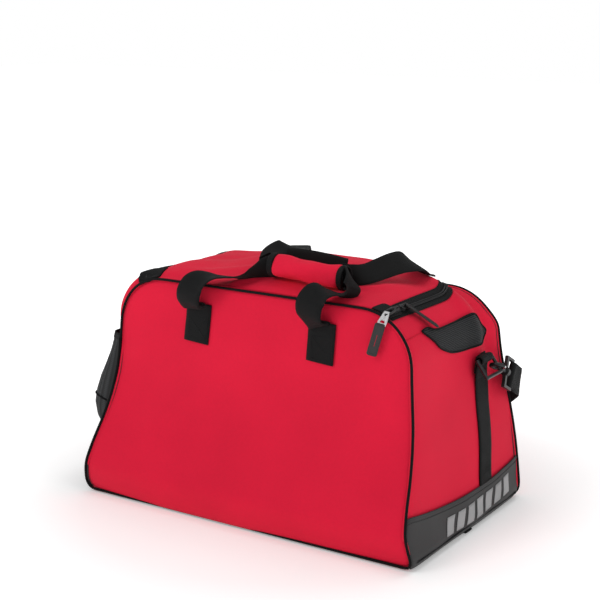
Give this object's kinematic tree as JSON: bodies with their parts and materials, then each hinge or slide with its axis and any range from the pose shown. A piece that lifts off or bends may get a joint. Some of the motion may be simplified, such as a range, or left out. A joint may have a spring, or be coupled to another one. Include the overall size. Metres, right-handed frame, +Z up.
{
  "type": "sports holdall",
  "caption": "soft rounded sports holdall with a U-zip lid, two webbing carry handles with a padded grip, end webbing with snap hooks and a shoulder strap",
  "frame": {"origin": "centre of the base on the floor, on the underside of the long runner", "axes": "+X runs along the bag to the end with the vent, +Y runs from the large front face to the back, +Z is up"},
  "size_m": [0.583, 0.3597, 0.3772],
  "materials": {
    "red_fabric": "matt woven polyester",
    "grip_fabric": "padded polyester",
    "tarpaulin": "satin coated tarpaulin",
    "board": "matt stiffener",
    "webbing": "ribbed nylon webbing",
    "piping": "woven binding tape",
    "zip_tape": "woven zip tape",
    "zip_coil": "nylon coil",
    "mesh": "knitted air mesh",
    "reflective": "grey reflective film",
    "black_plastic": "moulded acetal",
    "steel": "nickel plated",
    "rubber_pull": "moulded rubber"
  },
  "bodies": {
    "shell": {"front_panel": "red_fabric", "back_panel": "red_fabric", "base_panel": "tarpaulin", "base_board": "board", "skid_rails": "webbing", "right_end_upper": "red_fabric", "right_end_lower": "tarpaulin", "left_end_upper": "red_fabric", "left_end_lower": "tarpaulin", "right_shoulder": "red_fabric", "left_shoulder": "red_fabric", "back_rim": "red_fabric", "reflective_bar": "reflective", "front_piping": "piping", "back_piping": "piping", "rim_zip_tape": "zip_tape", "rim_zip_coil": "zip_coil", "zip_patch_right": "zip_tape", "zip_patch_left": "zip_tape", "near_anchor_left": "webbing", "near_anchor_right": "webbing", "far_anchor_left": "webbing", "far_anchor_right": "webbing", "parked_slider": "black_plastic", "vent_mesh": "mesh", "vent_binding": "piping", "pocket_upper": "mesh", "pocket_lower": "mesh", "pocket_side_front": "mesh", "pocket_side_back": "mesh", "pocket_elastic": "piping", "right_end_web": "webbing", "left_end_web": "webbing", "right_hook_base": "black_plastic", "left_hook_base": "black_plastic", "shoulder_strap": "webbing", "strap_adjuster": "black_plastic"},
    "lid": {"lid_panel": "red_fabric", "lid_zip_tape": "zip_tape", "lid_zip_coil": "zip_coil", "lid_seam": "piping"},
    "near_handle": {"near_leg_left": "webbing", "near_leg_right": "webbing", "grip_wrap": "grip_fabric", "grip_binding_left": "webbing", "grip_binding_right": "webbing"},
    "far_handle": {"far_leg_left": "webbing", "far_leg_right": "webbing", "far_middle": "webbing"},
    "parked_puller": {"parked_pull": "steel"},
    "parked_tab": {"parked_strap": "rubber_pull"},
    "zip_slider": {"running_slider": "black_plastic"},
    "zip_tab": {"running_pull": "rubber_pull"},
    "ring_right": {"right_ring": "black_plastic"},
    "ring_left": {"left_ring": "black_plastic"},
    "hook_right": {"right_hook": "black_plastic"},
    "hook_left": {"left_hook": "black_plastic"},
    "gate_right": {"right_gate": "steel"},
    "gate_left": {"left_gate": "steel"}
  },
  "joints": [
    {"name": "lid_open", "type": "hinge", "parent": "shell", "child": "lid", "pos_m": [0, -0.103, 0.3195], "axis": [1, 0, 0], "range_deg": [0, 100]},
    {"name": "near_handle_swing", "type": "hinge", "parent": "shell", "child": "near_handle", "pos_m": [0, -0.1208, 0.2965], "axis": [1, 0, 0], "range_deg": [0, 166]},
    {"name": "far_handle_swing", "type": "hinge", "parent": "shell", "child": "far_handle", "pos_m": [0, 0.14329, 0.2965], "axis": [-1, 0, 0], "range_deg": [0, 166]},
    {"name": "parked_pull_lift", "type": "hinge", "parent": "shell", "child": "parked_puller", "pos_m": [0.194, -0.0935, 0.3238], "axis": [-1, 0, 0], "range_deg": [0, 100]},
    {"name": "parked_tab_swing", "type": "hinge", "parent": "parked_puller", "child": "parked_tab", "pos_m": [0.1945, -0.1205, 0.3225], "axis": [-1, 0, 0], "range_deg": [0, 80]},
    {"name": "zip_slide", "type": "slide", "parent": "shell", "child": "zip_slider", "axis": [0, 1, 0], "range_m": [0, 0.1]},
    {"name": "zip_tab_lift", "type": "hinge", "parent": "zip_slider", "child": "zip_tab", "pos_m": [0.2005, -0.058, 0.3215], "axis": [0.6691, -0.7431, 0], "range_deg": [0, 75]},
    {"name": "ring_swing_right", "type": "hinge", "parent": "shell", "child": "ring_right", "pos_m": [0.25119, 0.075, 0.22489], "axis": [0, -1, 0], "range_deg": [-3.5, 3.5]},
    {"name": "hook_swivel_right", "type": "hinge", "parent": "shell", "child": "hook_right", "pos_m": [0.26346, 0.11675, 0.19895], "axis": [0.0702, 0.866, -0.495], "range_deg": [-10, 10]},
    {"name": "gate_press_right", "type": "hinge", "parent": "hook_right", "child": "gate_right", "pos_m": [0.26785, 0.10404, 0.20698], "axis": [0.1216, -0.5, -0.8574], "range_deg": [0, 16], "stiffness_Nm_per_rad": 0.03, "springref_deg": -8.59},
    {"name": "ring_swing_left", "type": "hinge", "parent": "shell", "child": "ring_left", "pos_m": [-0.25119, 0.075, 0.22489], "axis": [0, 1, 0], "range_deg": [-3.5, 3.5]},
    {"name": "hook_swivel_left", "type": "hinge", "parent": "shell", "child": "hook_left", "pos_m": [-0.26346, 0.11675, 0.19895], "axis": [-0.0702, 0.866, -0.495], "range_deg": [-10, 10]},
    {"name": "gate_press_left", "type": "hinge", "parent": "hook_left", "child": "gate_left", "pos_m": [-0.26785, 0.10404, 0.20698], "axis": [0.1216, 0.5, 0.8574], "range_deg": [0, 16], "stiffness_Nm_per_rad": 0.03, "springref_deg": -8.59}
  ],
  "couplings": [
    {"joint": "near_handle_swing", "follows": "lid_open", "ratio": 1.65},
    {"joint": "far_handle_swing", "follows": "lid_open", "ratio": 1.65}
  ]
}
